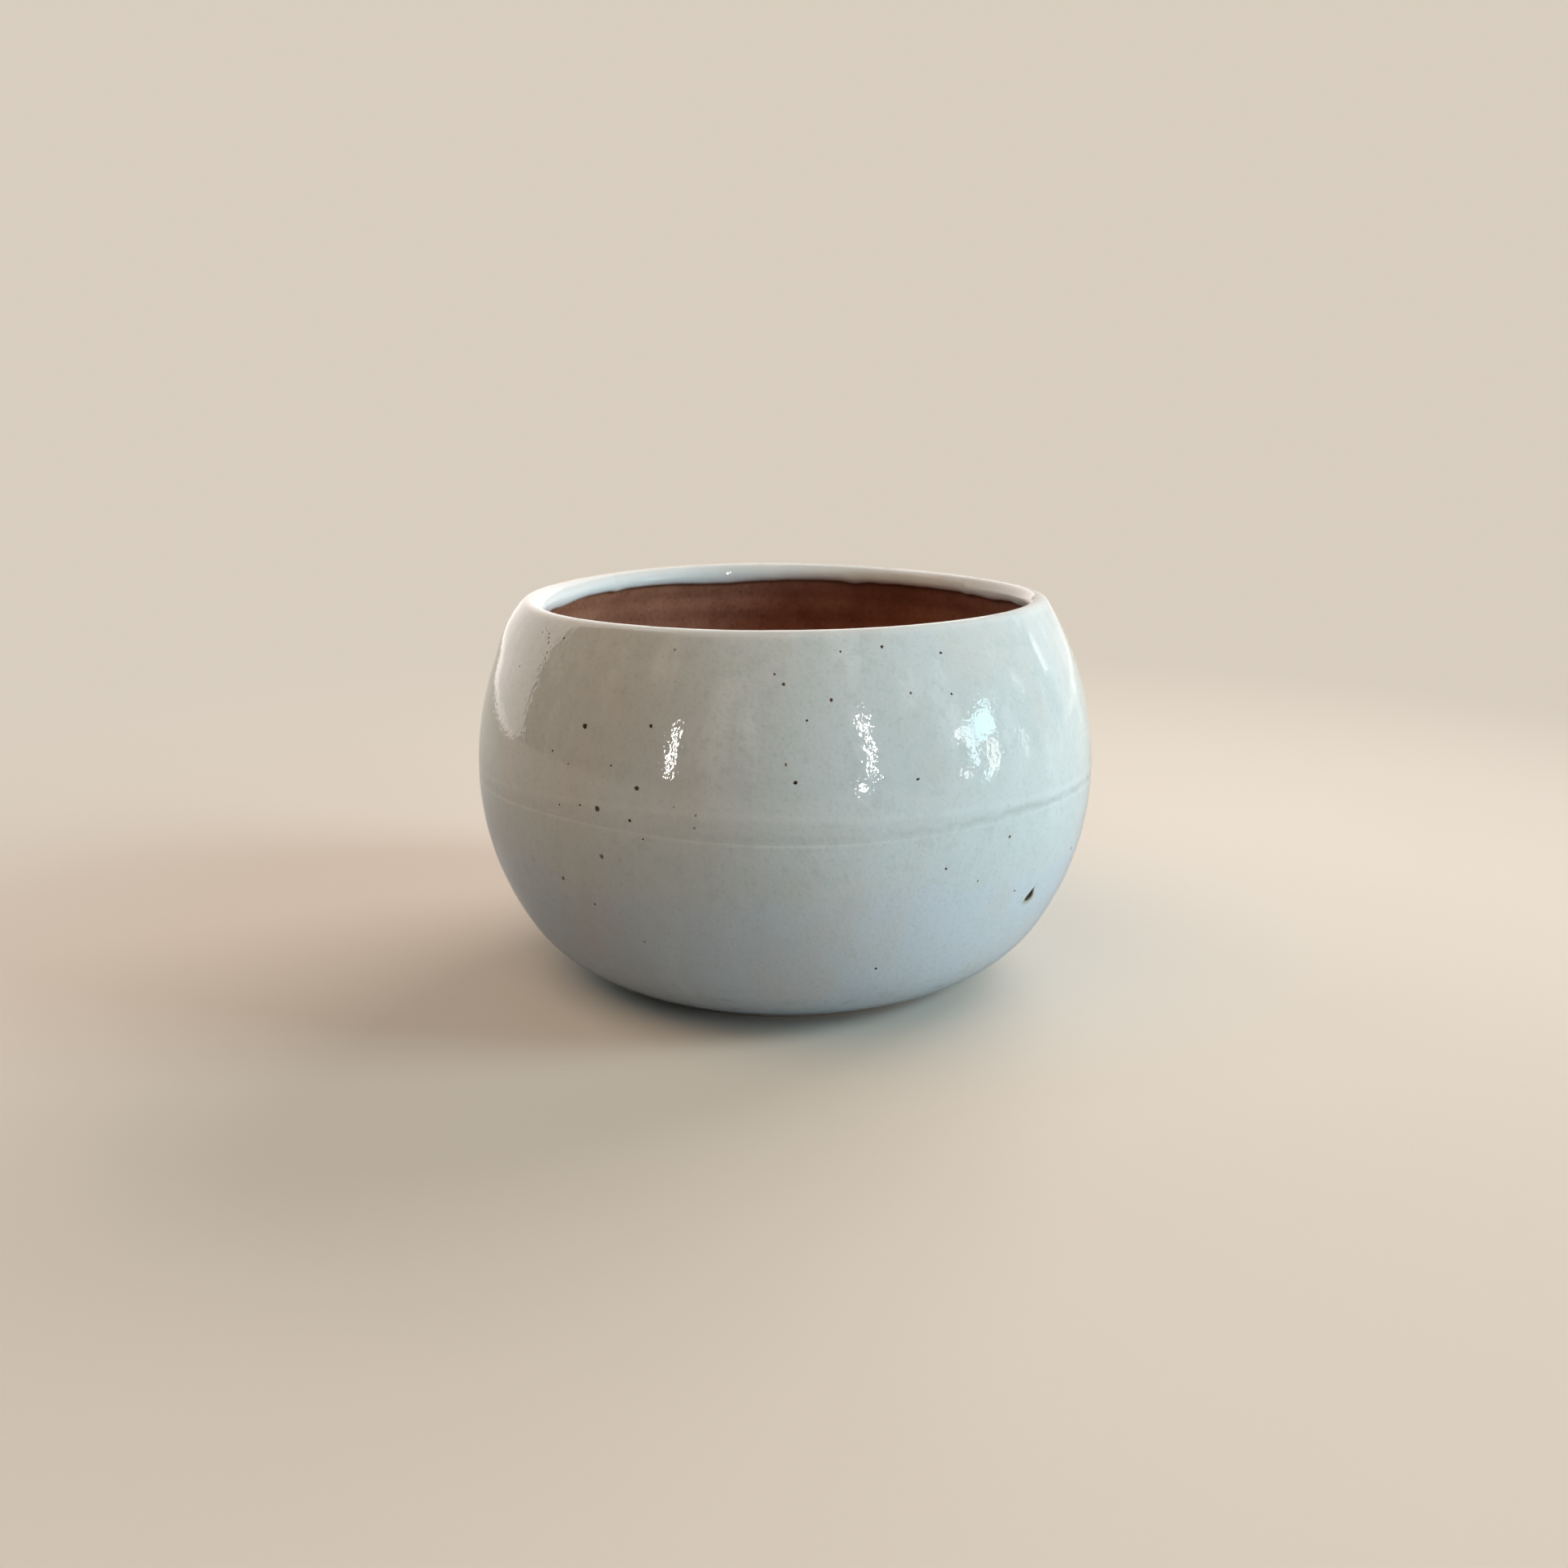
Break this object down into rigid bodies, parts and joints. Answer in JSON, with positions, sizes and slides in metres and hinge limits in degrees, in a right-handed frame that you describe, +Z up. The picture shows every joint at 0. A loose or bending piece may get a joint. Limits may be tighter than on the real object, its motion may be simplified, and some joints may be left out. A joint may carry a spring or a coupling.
{
  "type": "go stone bowl",
  "caption": "Round thrown stoneware bowl for go stones, with a wide belly, an inward-leaning wall, a slim rounded lip, a low foot ring and pale glaze.",
  "frame": {"origin": "on the bowl's axis, on the plane the foot ring rests on", "axes": "+Z up along the axis through the mouth; the bowl is a body of revolution, and -Y is the side seen in the reference view"},
  "size_m": [0.106, 0.106, 0.065],
  "materials": {
    "bare_clay": "matte unglazed reddish brown stoneware with fine grit",
    "milky_glaze": "glossy milky pale blue-grey glaze with brown iron specks"
  },
  "bodies": {
    "root": {"clay_body": "bare_clay", "glaze_lower_coat": "milky_glaze", "glaze_upper_coat": "milky_glaze"}
  },
  "joints": []
}
